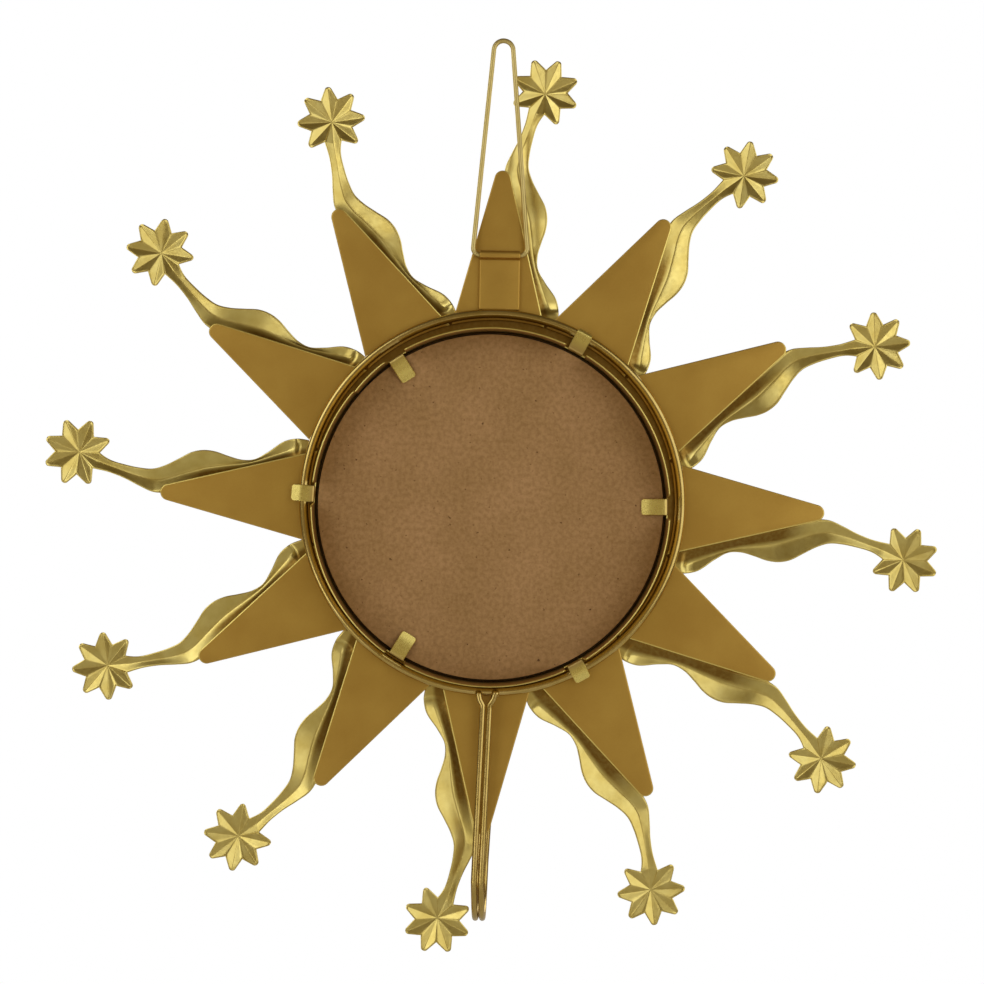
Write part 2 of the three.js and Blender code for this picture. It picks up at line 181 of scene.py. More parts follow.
def light_surround():
    """The surround lights the object, and the camera sees plain white in its place."""
    world = bpy.data.worlds.new("studio")
    bpy.context.scene.world = world
    world.use_nodes = True
    tree = world.node_tree
    tree.nodes.clear()
    where = add(tree, "ShaderNodeTexCoord")
    split = add(tree, "ShaderNodeSeparateXYZ", links={"Vector": where.outputs["Generated"]})
    place = add(tree, "ShaderNodeMapRange", values={"From Min": -1, "From Max": 1},
                links={"Value": split.outputs["Y"]})
    tone = add(tree, "ShaderNodeValToRGB", links={"Fac": place.outputs["Result"]})
    stops = tone.color_ramp.elements
    stops[0].color = warm(ROOM_FRONT)
    stops[1].color = warm(ROOM_WALL_SIDE)
    for spot, level in ROOM_BETWEEN:
        stops.new(spot).color = warm(level)
    height = add(tree, "ShaderNodeMapRange", values={
        "From Min": -1, "From Max": 1, "To Min": ROOM_BELOW, "To Max": ROOM_ABOVE},
        links={"Value": split.outputs["Z"]})
    soft = add(tree, "ShaderNodeBackground", links={
        "Color": tone.outputs["Color"], "Strength": height.outputs["Result"]})
    white = add(tree, "ShaderNodeBackground", values={"Color": srgb("#ffffff"), "Strength": 1.0})
    path = add(tree, "ShaderNodeLightPath")
    mix = add(tree, "ShaderNodeMixShader", links={
        0: path.outputs["Is Camera Ray"], 1: soft.outputs[0], 2: white.outputs[0]})
    add(tree, "ShaderNodeOutputWorld", links={"Surface": mix.outputs[0]})


def place_boxes():
    middle = Vector((SUN[0] * MM, 0, SUN[1] * MM))
    for name, clock_deg, tilt_deg, distance, size, power in BOXES:
        clock = math.radians(clock_deg)
        tilt = math.radians(tilt_deg)
        way = Vector((-math.sin(clock) * math.sin(tilt), math.cos(tilt), math.cos(clock) * math.sin(tilt)))
        data = bpy.data.lights.new(name, "AREA")
        data.shape = "SQUARE"
        data.size = size
        data.energy = power
        data.color = BOX_COLOUR
        light = bpy.data.objects.new(name, data)
        light.location = middle + distance * way
        light.rotation_euler = (-way).to_track_quat("-Z", "Y").to_euler()
        bpy.context.scene.collection.objects.link(light)


FLOOR_HALF = 900
FLOOR_Z = -840


def lay_floor():
    half = FLOOR_HALF * MM
    low = FLOOR_Z * MM
    mesh = bpy.data.meshes.new("floor")
    mesh.from_pydata([(-half, -half, low), (half, -half, low), (half, half, low), (-half, half, low)],
                     [], [(0, 1, 2, 3)])
    floor = bpy.data.objects.new("floor", mesh)
    material = bpy.data.materials.new("pale_floor")
    material.use_nodes = True
    shader = material.node_tree.nodes["Principled BSDF"]
    shader.inputs["Base Color"].default_value = srgb("#e8e6e2")
    shader.inputs["Roughness"].default_value = 0.9
    mesh.materials.append(material)
    bpy.context.scene.collection.objects.link(floor)


# Materials. The gold is a lacquer. A painted shade mixes a dark brown into it where a piece lies in
# shade, and a painted highlight makes it paler, and glossier, where an edge or a tab catches light.
# Sockets of a colour mix: its share, its two colours and what comes out
SHARE = 0
FIRST = 6
SECOND = 7
MIXED = 2
# The colour of the painted shade, then the colour and the drop in roughness of the painted highlight
SHADE_BROWN = "#876629"
HIGHLIGHT_GOLD = "#f2dc7c"
HIGHLIGHT_GLOSS = 0.1
# The paint on the back of the glass covers it from the first to the second depth from its front
PAINT_DEPTH = (0.3, 0.5)


def new_material(name):
    material = bpy.data.materials.new(name)
    material.use_nodes = True
    tree = material.node_tree
    where = add(tree, "ShaderNodeTexCoord")
    return material, tree, tree.nodes["Principled BSDF"], where.outputs["Object"]


def mottle(tree, where, size_mm, dark, pale, spread=(0.3, 0.7), **noise):
    """Two tones in patches of a real size. Gives the colour and the pattern under it."""
    pattern = add(tree, "ShaderNodeTexNoise", values={"Scale": 1 / (size_mm * MM), **noise},
                  links={"Vector": where})
    share = add(tree, "ShaderNodeMapRange", values={"From Min": spread[0], "From Max": spread[1]},
                links={"Value": pattern.outputs["Fac"]})
    tone = add(tree, "ShaderNodeMix", {"data_type": "RGBA"}, {FIRST: srgb(dark), SECOND: srgb(pale)},
               {SHARE: share.outputs["Result"]})
    return tone.outputs[MIXED], pattern.outputs["Fac"]


def gold(name, cloud_mm, dark, pale, grain_mm, glossy, dull, dent_mm):
    """Gold lacquer on steel: clouds in the coat, a grain in its gloss and fine dents."""
    material, tree, shader, where = new_material(name)
    coat, _ = mottle(tree, where, cloud_mm, dark, pale, Detail=3.0)
    grain = add(tree, "ShaderNodeTexNoise", values={"Scale": 1 / (grain_mm * MM), "Detail": 3.0},
                links={"Vector": where})
    # Painted shade: a dark brown mixed into the coat where the shade mark is set, patchy with the grain
    shade_mark = add(tree, "ShaderNodeAttribute", {"attribute_name": "painted_shade"})
    patchy = add(tree, "ShaderNodeMath", {"operation": "MULTIPLY_ADD"}, {1: 0.5, 2: 0.7},
                 {0: grain.outputs["Fac"]})
    shade_amount = add(tree, "ShaderNodeMath", {"operation": "MULTIPLY", "use_clamp": True},
               links={0: shade_mark.outputs["Fac"], 1: patchy.outputs[0]})
    covered = add(tree, "ShaderNodeMix", {"data_type": "RGBA"}, {SECOND: srgb(SHADE_BROWN)},
                  {SHARE: shade_amount.outputs[0], FIRST: coat})
    # Painted highlight: a paler gold, and a little less roughness, where the highlight mark is set
    highlight_share = add(tree, "ShaderNodeAttribute", {"attribute_name": "painted_highlight"})
    colour = add(tree, "ShaderNodeMix", {"data_type": "RGBA"}, {SECOND: srgb(HIGHLIGHT_GOLD)},
                 {SHARE: highlight_share.outputs["Fac"], FIRST: covered.outputs[MIXED]})
    gloss = add(tree, "ShaderNodeMapRange", values={
        "From Min": 0.3, "From Max": 0.7, "To Min": glossy, "To Max": dull},
        links={"Value": grain.outputs["Fac"]})
    rough = add(tree, "ShaderNodeMath", {"operation": "MULTIPLY_ADD"}, {1: -HIGHLIGHT_GLOSS},
                {0: highlight_share.outputs["Fac"], 2: gloss.outputs["Result"]})
    dents = add(tree, "ShaderNodeBump", values={"Strength": 0.25, "Distance": dent_mm * MM},
                links={"Height": grain.outputs["Fac"]})
    tree.links.new(colour.outputs[MIXED], shader.inputs["Base Color"])
    tree.links.new(rough.outputs[0], shader.inputs["Roughness"])
    tree.links.new(dents.outputs["Normal"], shader.inputs["Normal"])
    shader.inputs["Metallic"].default_value = 1.0
    return material


# Sheet steel with a sprayed gold lacquer: a brownish satin metal with faint clouds in the
# spray and fine orange peel.
def lacquered_sheet():
    return gold("gold_lacquered_sheet", cloud_mm=28, dark="#b99141", pale="#c49d49",
                grain_mm=1.1, glossy=0.46, dull=0.54, dent_mm=0.05)


# Pressed sheet in a brighter gold, with the mottle that pressing leaves, so that its facets
# flash pale yellow or fall to olive.
def pressed_sheet():
    return gold("gold_pressed_sheet", cloud_mm=9, dark="#ccb35f", pale="#dbc675",
                grain_mm=2.2, glossy=0.28, dull=0.36, dent_mm=0.08)


# Drawn steel wire under the same lacquer: dark sides and a narrow bright line along it.
def lacquered_wire():
    return gold("gold_lacquered_wire", cloud_mm=12, dark="#bb9f55", pale="#caae68",
                grain_mm=0.8, glossy=0.19, dull=0.26, dent_mm=0.04)


# The loop's thinner wire has a paler satin coat: even, with hardly any highlight.
def satin_wire():
    return gold("gold_satin_wire", cloud_mm=12, dark="#c9b26c", pale="#d5bf7a",
                grain_mm=0.8, glossy=0.42, dull=0.5, dent_mm=0.03)


# Rolled strip of the cup: satin gold. A painted highlight makes its hand-bent tabs and the wall's back edge
# brighter.
def rolled_strip():
    return gold("gold_rolled_strip", cloud_mm=14, dark="#bc9d56", pale="#caad68",
                grain_mm=2.0, glossy=0.35, dull=0.4, dent_mm=0.015)


# Bare hardboard: pressed wood fibre, matt brown with short fibres, paler and darker flecks.
def hardboard():
    material, tree, shader, where = new_material("bare_hardboard")
    base, _ = mottle(tree, where, 30, "#a9804b", "#b58a56", Detail=2.0)
    fibre_tone, fibres = mottle(tree, where, 2.4, "#e2ded8", "#ffffff", (0.36, 0.62),
                                Detail=4.0, Roughness=0.6)
    fleck_tone, _ = mottle(tree, where, 2.2, "#94826f", "#ffffff", (0.25, 0.32), Detail=2.0)
    multiply = {"data_type": "RGBA", "blend_type": "MULTIPLY"}
    felted = add(tree, "ShaderNodeMix", multiply, {SHARE: 1.0}, {FIRST: base, SECOND: fibre_tone})
    colour = add(tree, "ShaderNodeMix", multiply, {SHARE: 1.0},
                 {FIRST: felted.outputs[MIXED], SECOND: fleck_tone})
    relief = add(tree, "ShaderNodeBump", values={"Strength": 0.5, "Distance": 0.15 * MM},
                 links={"Height": fibres})
    tree.links.new(colour.outputs[MIXED], shader.inputs["Base Color"])
    tree.links.new(relief.outputs["Normal"], shader.inputs["Normal"])
    shader.inputs["Roughness"].default_value = 0.85
    shader.inputs["IOR"].default_value = 1.45
    return material


# Silvered float glass: a clean mirror from the front, with the faintest green in its depth;
# its edge and back are covered by dark backing paint.
def silvered_glass():
    material, tree, shader, where = new_material("silvered_glass")
    haze = add(tree, "ShaderNodeTexNoise", values={"Scale": 1 / (60 * MM), "Detail": 2.0},
               links={"Vector": where})
    silver = add(tree, "ShaderNodeMix", {"data_type": "RGBA"},
                 {FIRST: srgb("#e2e8e6"), SECOND: srgb("#eaeeec")}, {SHARE: haze.outputs["Fac"]})
    split = add(tree, "ShaderNodeSeparateXYZ", links={"Vector": where})
    painted = add(tree, "ShaderNodeMapRange", values={
        "From Min": (GLASS_FRONT_Y + PAINT_DEPTH[0]) * MM,
        "From Max": (GLASS_FRONT_Y + PAINT_DEPTH[1]) * MM}, links={"Value": split.outputs["Y"]})
    colour = add(tree, "ShaderNodeMix", {"data_type": "RGBA"}, {SECOND: srgb("#2b221a")},
                 {SHARE: painted.outputs["Result"], FIRST: silver.outputs[MIXED]})
    tree.links.new(colour.outputs[MIXED], shader.inputs["Base Color"])
    for socket, silvered, covered in (("Metallic", 1.0, 0.0), ("Roughness", 0.03, 0.6)):
        level = add(tree, "ShaderNodeMapRange", values={"To Min": silvered, "To Max": covered},
                    links={"Value": painted.outputs["Result"]})
        tree.links.new(level.outputs["Result"], shader.inputs[socket])
    return material


# Mesh helpers
def face_outwards(mesh):
    """Turns every face to point out of the closed form."""
    form = bmesh.new()
    form.from_mesh(mesh)
    bmesh.ops.recalc_face_normals(form, faces=form.faces)
    form.to_mesh(mesh)
    form.free()


def make_piece(name, points, faces, material, stands_for, body=SUN_BODY, sharp=40, coat=None):
    """One piece in the place of its solids, with marks of painted highlight and painted shade on its coat.
    """
    mesh = bpy.data.meshes.new(name)
    mesh.from_pydata([tuple(p) for p in np.asarray(points, float) * MM], [], faces)
    mesh.validate()
    mesh.shade_smooth()
    mesh.set_sharp_from_angle(angle=math.radians(sharp))
    mesh.materials.append(material)
    for mark, values in (coat or {}).items():
        mesh.attributes.new(mark, "FLOAT", "POINT").data.foreach_set("value", values)
    piece = bpy.data.objects.new(name, mesh)
    bpy.context.scene.collection.objects.link(piece)
    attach(piece, body)
    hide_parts(*stands_for)
    face_outwards(mesh)


class Shell:
    """Points, faces and marks of painted highlight and painted shade of one piece, gathered from several
    closed forms.
    """

    def __init__(self):
        self.points = []
        self.faces = []
        self.coat = {"painted_highlight": [], "painted_shade": []}

    def take(self, points, faces, painted_highlight=None, shade_mark=None):
        start = len(self.points)
        self.points += points
        self.faces += [tuple(i + start for i in face) for face in faces]
        self.coat["painted_highlight"] += painted_highlight or [0.0] * len(points)
        self.coat["painted_shade"] += shade_mark or [0.0] * len(points)


def around(points, centre, turn):
    """From (side, y, out) of a ray to x, y, z: out along the ray, side to the clockwise side."""
    side, y, out = np.asarray(points, float).T
    x = centre[0] - out * math.sin(turn) - side * math.cos(turn)
    z = centre[1] + out * math.cos(turn) - side * math.sin(turn)
    return np.column_stack([x, y, z])


def spline(at, xs, ys):
    """Smooth curve through the stations, by cubic pieces."""
    slope = np.gradient(ys, xs)
    i = np.clip(np.searchsorted(xs, at) - 1, 0, len(xs) - 2)
    h = xs[i + 1] - xs[i]
    t = (at - xs[i]) / h
    return ((2 * t**3 - 3 * t**2 + 1) * ys[i] + (t**3 - 2 * t**2 + t) * h * slope[i]
            + (3 * t**2 - 2 * t**3) * ys[i + 1] + (t**3 - t**2) * h * slope[i + 1])


def full_turn(steps):
    """Angles at even steps round a circle."""
    return np.arange(steps) * 2 * math.pi / steps


def loft(rings, closed):
    """Skin over rings of equal length, closed on the first ring or else capped at both ends."""
    count = len(rings[0])
    points = [p for ring in rings for p in ring]
    faces = []
    for i in range(len(rings) if closed else len(rings) - 1):
        j = (i + 1) % len(rings)
        for k in range(count):
            n = (k + 1) % count
            faces.append((i * count + k, i * count + n, j * count + n, j * count + k))
    if not closed:
        faces.append(tuple(range(count))[::-1])
        faces.append(tuple(range((len(rings) - 1) * count, len(rings) * count)))
    return points, faces


def tube(path, radius, sides, closed=False):
    """A round wire along a path, its section carried along without twist."""
    path = np.asarray(path, float)
    if closed:
        tangents = np.roll(path, -1, 0) - np.roll(path, 1, 0)
    else:
        tangents = np.gradient(path, axis=0)
    tangents /= np.linalg.norm(tangents, axis=1)[:, None]
    across = np.cross(tangents[0], (0, 1, 0))
    across /= np.linalg.norm(across)
    angles = full_turn(sides)
    rings = []
    for place, along in zip(path, tangents):
        across = across - along * across.dot(along)
        across /= np.linalg.norm(across)
        other = np.cross(along, across)
        rings.append(place + radius * (np.outer(np.cos(angles), across) + np.outer(np.sin(angles), other)))
    return loft(rings, closed)


def arc(centre, radius, start, end, steps):
    """Points of an arc in the XZ plane, angles in degrees."""
    angles = np.radians(np.linspace(start, end, steps + 1))
    return [(centre[0] + radius * math.cos(a), 0.0, centre[1] + radius * math.sin(a)) for a in angles]


def resample(points, step):
    """The same route with a point about every step, straight between the given points."""
    points = [np.array(p, float) for p in points]
    result = points[:1]
    for a, b in zip(points, points[1:]):
        count = max(1, int(round(np.linalg.norm(b - a) / step)))
        result += [a + (b - a) * k / count for k in range(1, count + 1)]
    return np.array(result)


def softened(way, softness):
    """A way from 0 to 1 that sets out level, as beside a rounded crease."""
    return (math.sqrt(way * way + softness**2) - softness) / (math.sqrt(1 + softness**2) - softness)


# Wavy ray: a pressed ribbon that ends in a hollow star. Each station of the ribbon: how far
# out, then left edge, crease and right edge to the clockwise side.
RIBBON = np.array([
    [102.2, 20.8, 30.2, 33.2],
    [110, 19.2, 29.4, 34],
    [117, 16.8, 26.8, 32.5],
    [127, 13.4, 23, 25.7],
    [134, 11.4, 20.5, 21.7],
    [141, 10.3, 18.9, 21.1],
    [149, 9.2, 17.8, 23],
    [156, 8.2, 16.8, 25.2],
    [162, 7, 15.8, 25.8],
    [169, 5.1, 13.8, 24.4],
    [176, 2.8, 11.6, 20.6],
    [183, 1, 9.2, 16.8],
    [190, 1.2, 8.2, 14.4],
    [198, 4.4, 9.6, 14.6],
    [206, 8.2, 12, 16],
    [214, 11.1, 14.7, 18.1],
])
RIBBON_END = RIBBON[-1, 0]
# How far the crease lies below the flat foot, at places out along the ray
CREASE_DEPTH = np.array([
    [102.2, 0], [107.4, 0], [108.2, 0.2], [111.4, 2.8], [114, 3.6], [118, 3.9], [125, 4.0], [134, 4.1],
    [141, 4.3], [149, 4.5], [162, 4.8], [169, 4.6], [176, 4.1], [183, 3.4], [190, 2.9], [198, 2.5],
    [206, 2.3], [214, 2.3],
])
# The left facet is a steep flank whose top lies this far under the edge of the flat ray;
# the right facet has about the same slope all along
FLANK_HIDDEN = 1.5
RIGHT_SLOPE = 0.38
# Painted shade lies on the flank beside the flat ray, where that ray's edge shades it. Out along
# the ray this fades between two places, and up the flank it starts a little above the crease.
PAINTED_SHADE_END = (164, 180)
PAINTED_SHADE_START = 0.08
PAINTED_SHADE_FADE = 0.3

# Rows of points across the ribbon, from, to and how many, closest beside the bezel; then the
# stem up to where it meets the star
RIBBON_ROWS = [(RAY_INNER, 107, 4), (107.4, 115, 16), (116, RIBBON_END, 82)]
STEM_END = 222.2
STEM_ROWS = 10
STEM_DEPTH = 2.6

# The sheet's edge is turned down a little. Points stand at these shares of the turned edge and
# of the rest of the facet.
EDGE_WIDTH = 0.9
EDGE_MOST = 0.35
EDGE_DROP = 0.6
EDGE_STEPS = (0, 0.3, 0.65, 1)
FACET_STEPS = (0.1, 0.2, 0.28, 0.35, 0.42, 0.48, 0.54, 0.6, 0.66, 0.72, 0.78, 0.84, 0.89, 0.94, 0.97, 1)
CREASE_SOFTNESS = 0.08
KNEE_SOFTNESS = 0.12

# Star: eight points with straight flanks, worked from where a sharp tip would be. The stem
# takes the place of one point.
STAR_POINTS = 8
STAR_OUT = 233.2
STAR_SIDE = 22.1
STAR_APEX = 21.57
STAR_FLANK = math.radians(25.8)
STAR_TIP_RADIUS = 2.0
STAR_DEPTH = 5.0
STEM_POINT = 4
HALF_POINT = math.pi / STAR_POINTS
FLANK_DISTANCE = STAR_APEX * math.sin(STAR_FLANK)
# A point's ridge is sharp, the notch between two points and the star's middle are soft
RIDGE_SOFTNESS = math.radians(1.3)
NOTCH_SOFTNESS = math.radians(6)
MIDDLE_SOFTNESS = 0.05
MIDDLE_RISE = 0.6
# Spokes stand at these turns from a point's middle line, with points at these shares of them
# and two more in the turned edge
SPOKE_TURNS = np.radians([0, 0.7, 1.4, 2.4, 3.7, 5.0, 6.2, 8.5, 11.5, 14.5, 17.5, 20, 22.5])
SPOKE_SHARES = [0.03, 0.08, 0.15, 0.23, 0.32, 0.41, 0.5, 0.59, 0.68, 0.77, 0.85, 0.91]
SPOKE_EDGE_SHARES = (0.35, 0.7)
SPOKE_EDGE_MOST = 0.12
SPOKE_EDGE_FIT = 0.66
SPOKE_PLAIN_EDGE = 0.05


class Skin:
    """The back skin of a pressed sheet: points (side, depth, out), how much painted shade lies at
    each, and faces."""

    def __init__(self):
        self.points = []
        self.shade_mark = []
        self.faces = []

    def put(self, side, depth, out, shade_mark=0.0):
        self.points.append((side, depth, out))
        self.shade_mark.append(shade_mark)
        return len(self.points) - 1

    def join(self, row, following):
        for k in range(len(row) - 1):
            self.faces.append((row[k], row[k + 1], following[k + 1], following[k]))


def facet_rise(way, crease_softness, knee_softness):
    """How far a facet has come up from the crease (0) to its edge's level (1), both rounded."""
    rise = softened(way, crease_softness)
    return (rise + 1 - math.sqrt((rise - 1)**2 + knee_softness**2)) / 2


def facet_columns(edge, crease):
    """Sides from a ribbon's edge to its crease, and how far each is within the turned edge."""
    width = abs(crease - edge)
    way = math.copysign(1, crease - edge)
    turned = min(EDGE_WIDTH, EDGE_MOST * width)
    steps = [s * turned for s in EDGE_STEPS] + [turned + s * (width - turned) for s in FACET_STEPS]
    return [edge + way * s for s in steps], [max(0.0, 1 - s / turned) for s in steps]


def facet_line(out, edge, crease, depth, low, steep, skew, shade_strength):
    """A row of points over a facet, from its edge to the crease. The skew is how much further
    out the row is at the crease and at the edge, to meet the star."""
    sides, turned = facet_columns(edge, crease)
    width = abs(crease - edge)
    line = []
    for side, lip in zip(sides, turned):
        way = abs(side - crease) / width
        rise = facet_rise(way * steep, CREASE_SOFTNESS * steep, KNEE_SOFTNESS * min(1, steep - 1))
        level = depth * (1 - rise) + low * rise + EDGE_DROP * lip**2
        further = skew[0] * (1 - way) + skew[1] * way
        # Painted shade: none at the crease, growing up the flank to full strength
        shade_mark = shade_strength * np.clip((way * steep - PAINTED_SHADE_START) / PAINTED_SHADE_FADE, 0, 1)
        line.append((side, level, out + further, float(shade_mark)))
    return line


def star_radius(turn):
    """Outline of a star point at an angle from its middle line."""
    shoulder = STAR_APEX - STAR_TIP_RADIUS / math.sin(STAR_FLANK)
    tangent = math.atan2(STAR_TIP_RADIUS * math.cos(STAR_FLANK),
                         shoulder + STAR_TIP_RADIUS * math.sin(STAR_FLANK))
    if turn <= tangent:
        return (shoulder * math.cos(turn)
                + math.sqrt(STAR_TIP_RADIUS**2 - (shoulder * math.sin(turn))**2))
    return FLANK_DISTANCE / math.sin(STAR_FLANK + turn)


def star_fall(turn):
    """How fast the dish rises with distance from the star's middle, at an angle from a ridge."""
    lean = math.pi / 2 - STAR_FLANK
    fall = math.cos(lean - turn)
    if turn > HALF_POINT - NOTCH_SOFTNESS:
        past = turn - HALF_POINT + NOTCH_SOFTNESS
        fall -= math.sin(lean - HALF_POINT) / (2 * NOTCH_SOFTNESS) * past**2
    if turn < RIDGE_SOFTNESS:
        fall += math.sin(lean) / (2 * RIDGE_SOFTNESS) * (RIDGE_SOFTNESS - turn)**2
    return fall


def star_depth(turn):
    """How deep the star's outline lies at an angle from a point's middle line."""
    return STAR_DEPTH * (1 - star_radius(turn) * star_fall(turn) / FLANK_DISTANCE)


def stem_chord():
    """Where the stem meets the star, as (out, side) at its left edge, crease and right edge."""
    notch = star_radius(HALF_POINT)
    stem = (STEM_POINT + 0.5) * 2 * HALF_POINT
    return [(STAR_OUT + notch * math.cos(stem + turn), STAR_SIDE + notch * math.sin(stem + turn))
            for turn in (HALF_POINT, 0, -HALF_POINT)]


def ribbon_rows(skin):
    """Rows across the ribbon, each from the left edge over the crease to the right edge."""
    chord = stem_chord()
    stations = np.append(RIBBON[:, 0], STEM_END)
    at = np.concatenate([np.linspace(*rows) for rows in RIBBON_ROWS]
                        + [np.linspace(RIBBON_END, STEM_END, STEM_ROWS)[1:]])
    left, crease, right = [spline(at, stations, np.append(RIBBON[:, k + 1], chord[k][1]))
                           for k in range(3)]
    places, depths = np.vstack([CREASE_DEPTH, [STEM_END, STEM_DEPTH]]).T
    depth = np.maximum(spline(at, places, depths), 0)
    low_right = depth - np.minimum(depth, RIGHT_SLOPE * (right - crease))
    flank_top = (RAY_APEX - at) * math.tan(RAY_HALF_ANGLE) - FLANK_HIDDEN
    steepness = np.maximum(1, (crease - left) / (crease - flank_top))
    shade_strength = np.clip((PAINTED_SHADE_END[1] - at) / (PAINTED_SHADE_END[1] - PAINTED_SHADE_END[0]), 0, 1)
    chord_skew = np.array([out for out, _ in chord]) - STEM_END
    rows = []
    for i, out in enumerate(at):
        to_star = np.clip((out - RIBBON_END) / (STEM_END - RIBBON_END), 0, 1)
        skew = chord_skew * to_star * to_star
        edge_depth = star_depth(HALF_POINT) * to_star
        flank = facet_line(out, left[i], crease[i], depth[i], max(0.0, edge_depth), steepness[i],
                           (skew[1], skew[0]), shade_strength[i])
        low = max(low_right[i] * (1 - to_star), edge_depth)
        slope = facet_line(out, right[i], crease[i], depth[i], low, 1.0, (skew[1], skew[2]), 0.0)
        rows.append([skin.put(*point) for point in flank + slope[-2::-1]])
    return rows


def star_outline():
    """Points (side, depth, out) round the star, from one side of the stem to the other."""
    turns = np.concatenate([-SPOKE_TURNS[::-1], SPOKE_TURNS[1:]])
    outline = []
    for k in range(1, STAR_POINTS):
        middle = (STEM_POINT + k + 0.5) * 2 * HALF_POINT
        for turn in turns[:-1] if k < STAR_POINTS - 1 else turns:
            radius = star_radius(abs(turn))
            outline.append((STAR_SIDE + radius * math.sin(middle + turn), star_depth(abs(turn)) + EDGE_DROP,
                            STAR_OUT + radius * math.cos(middle + turn)))
    return outline


def spoke(skin, end, turned, last=None):
    """Points from beside the star's middle to its outline, where the edge is turned or plain.
    The last point may be there already."""
    side, end_depth, out = end
    radius = math.hypot(side - STAR_SIDE, out - STAR_OUT)
    edge = min(SPOKE_EDGE_MOST, EDGE_WIDTH / radius / SPOKE_EDGE_FIT) if turned else SPOKE_PLAIN_EDGE
    drop = EDGE_DROP if turned else 0.0
    base = end_depth - drop
    chain = []
    for s in ([share * (1 - edge) / SPOKE_SHARES[-1] for share in SPOKE_SHARES]
              + [1 - edge * (1 - share) for share in SPOKE_EDGE_SHARES]):
        level = STAR_DEPTH + (base - STAR_DEPTH) * softened(s, MIDDLE_SOFTNESS)
        level += drop * (1 - min(1, (1 - s) / edge))**2
        chain.append(skin.put(STAR_SIDE + (side - STAR_SIDE) * s, level, STAR_OUT + (out - STAR_OUT) * s))
    return chain + [skin.put(*end) if last is None else last]


def star_spokes(skin, chord_row):
    """Fills the star with spokes, and returns those that end on its free outline."""
    middle = skin.put(STAR_SIDE, STAR_DEPTH * (1 - MIDDLE_SOFTNESS * MIDDLE_RISE), STAR_OUT)
    outline = star_outline()
    shared = {0: chord_row[0], len(outline) - 1: chord_row[-1]}
    free = [spoke(skin, end, True, shared.get(n)) for n, end in enumerate(outline)]
    stem = [spoke(skin, skin.points[i], False, i) for i in chord_row[-2:0:-1]]
    spokes = free + stem
    for a, b in zip(spokes, spokes[1:] + spokes[:1]):
        skin.faces.append((middle, a[0], b[0]))
        skin.join(a, b)
    return free


def wavy_form():
    """The back skin of a wavy ray, and its points in order round the edge."""
    skin = Skin()
    rows = ribbon_rows(skin)
    for row, following in zip(rows, rows[1:]):
        skin.join(row, following)
    free = star_spokes(skin, rows[-1])
    edge = [row[0] for row in rows[:-1]] + [chain[-1] for chain in free]
    edge += [row[-1] for row in rows[-2::-1]] + rows[0][-2:0:-1]
    return skin, edge


def build_wavy_rays(material):
    skin, edge = wavy_form()
    count = len(skin.points)
    side, depth, out = np.array(skin.points).T
    back = np.column_stack([side, WAVY_BACK_Y - depth, out])
    front = back - np.array([0, WAVY_SHEET, 0])
    # The two skins share the outline, and their faces run opposite ways round
    sheet = skin.faces + [tuple(i + count for i in face[::-1]) for face in skin.faces]
    sheet += [(i, j, j + count, i + count) for i, j in zip(edge, edge[1:] + edge[:1])]
    for k in range(RAYS):
        turned = around(np.vstack([back, front]), WAVY_CENTRE, WAVY_TURN + k * RAY_STEP)
        name = f"wavy_ray_{k + 1:02d}"
        # Each wavy ray carries the painted shade of its flank
        make_piece(name + "_pressed", turned, sheet, material, [name],
                   coat={"painted_shade": skin.shade_mark * 2})


# Flat ray: cut sheet with a rounded tip and edges broken by the shears. Each step of its edge
# from back to front: inset, y from the back face, and how much painted highlight it takes.
FLAT_EDGE = [
    (0.7, 0, 0), (0.6, -0.01, 0.7), (0.12, -0.22, 1), (0.03, -0.3, 1), (0, -0.42, 1),
    (0, 0.2 - FLAT_SHEET, 1), (0.07, 0.05 - FLAT_SHEET, 1), (0.24, -FLAT_SHEET, 0),
]
# The painted highlight on the edge is strongest on the side next to the wavy ray, and this much on the far
# side
FAR_SIDE_HIGHLIGHT = 0.15


def flat_outline(inset):
    """Outline of a flat ray with its edge drawn in: round the tip, then round the inner end."""
    apex = RAY_APEX - inset / math.sin(RAY_HALF_ANGLE)
    tip = RAY_TIP_RADIUS - inset
    middle = RAY_APEX - RAY_TIP_RADIUS / math.sin(RAY_HALF_ANGLE)
    inner = RAY_INNER + inset
    half = math.asin(apex * math.sin(RAY_HALF_ANGLE) / inner) - RAY_HALF_ANGLE
    outline = []
    for a in np.linspace(RAY_HALF_ANGLE, math.pi - RAY_HALF_ANGLE, TIP_POINTS):
        outline.append((tip * math.cos(a), middle + tip * math.sin(a)))
    for a in np.linspace(math.pi / 2 + half, math.pi / 2 - half, TIP_POINTS):
        outline.append((inner * math.cos(a), inner * math.sin(a)))
    return outline


def build_flat_rays(material):
    rings = [[(x, FLAT_BACK_Y + y, z) for x, z in flat_outline(inset)] for inset, y, _ in FLAT_EDGE]
    # The inner end, which lies under the wire ring, takes no painted highlight
    tip = list(np.linspace(1, FAR_SIDE_HIGHLIGHT, TIP_POINTS))
    highlight_share = tip + [FAR_SIDE_HIGHLIGHT] + [0] * (TIP_POINTS - 2) + [1]
    painted_highlight = [share * w for _, _, share in FLAT_EDGE for w in highlight_share]
    points, faces = loft(rings, False)
    for k in range(RAYS):
        turned = around(points, SUN, FLAT_TURN + k * RAY_STEP)
        name = f"flat_ray_{k + 1:02d}"
        make_piece(name + "_cut", turned, faces, material, [name], coat={"painted_highlight": painted_highlight})


# Wires. The loop's sides lean in by these angles at its corners and at its top.
LOOP_LEAN_LOW = 4
LOOP_LEAN_TOP = 5
LOOP_STEP = 3

